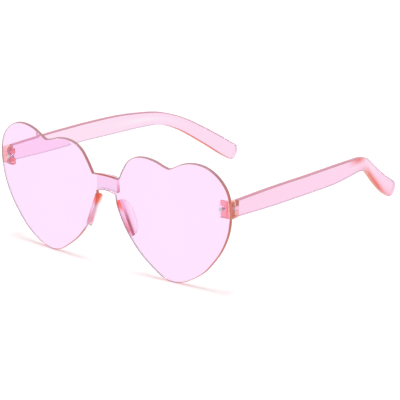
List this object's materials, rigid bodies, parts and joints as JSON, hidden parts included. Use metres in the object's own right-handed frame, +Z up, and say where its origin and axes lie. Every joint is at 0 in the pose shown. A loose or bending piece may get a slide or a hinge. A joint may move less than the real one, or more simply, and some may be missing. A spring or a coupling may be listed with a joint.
{
  "type": "heart shaped sunglasses",
  "caption": "Rimless sunglasses with a tinted lens sheet in the shape of joined hearts, a saddle bridge, nose pads and folding temples.",
  "frame": {"origin": "on the surface that the glasses stand on, below the middle of their bounding box", "axes": "+X towards the wearer's left, +Y back along the open temples, +Z up; the lens faces -Y"},
  "size_m": [0.142, 0.1556, 0.06],
  "materials": {
    "tinted_lens": "clear gloss, pink-lilac tint",
    "bridge_plastic": "clear gloss, deeper pink",
    "pad_plastic": "clear gloss, salmon pink",
    "hinge_plastic": "clear gloss, salmon pink",
    "temple_plastic": "clear gloss, pink",
    "fastener_steel": "bright steel"
  },
  "bodies": {
    "front": {"heart_lens_shield": "tinted_lens", "bridge_saddle": "bridge_plastic", "nose_pad_left": "pad_plastic", "nose_pad_right": "pad_plastic", "hinge_block_left": "hinge_plastic", "hinge_block_right": "hinge_plastic", "hinge_rivet_left": "fastener_steel", "hinge_rivet_right": "fastener_steel", "hinge_screw_left": "fastener_steel", "hinge_screw_right": "fastener_steel"},
    "temple_left": {"temple_left": "temple_plastic"},
    "temple_right": {"temple_right": "temple_plastic"}
  },
  "joints": [
    {"name": "fold_left", "type": "hinge", "parent": "front", "child": "temple_left", "pos_m": [0.0694, -0.069, 0.04045], "axis": [0, 0, 1], "range_deg": [0, 83]},
    {"name": "fold_right", "type": "hinge", "parent": "front", "child": "temple_right", "pos_m": [-0.0694, -0.069, 0.04045], "axis": [0, 0, -1], "range_deg": [0, 74]}
  ]
}
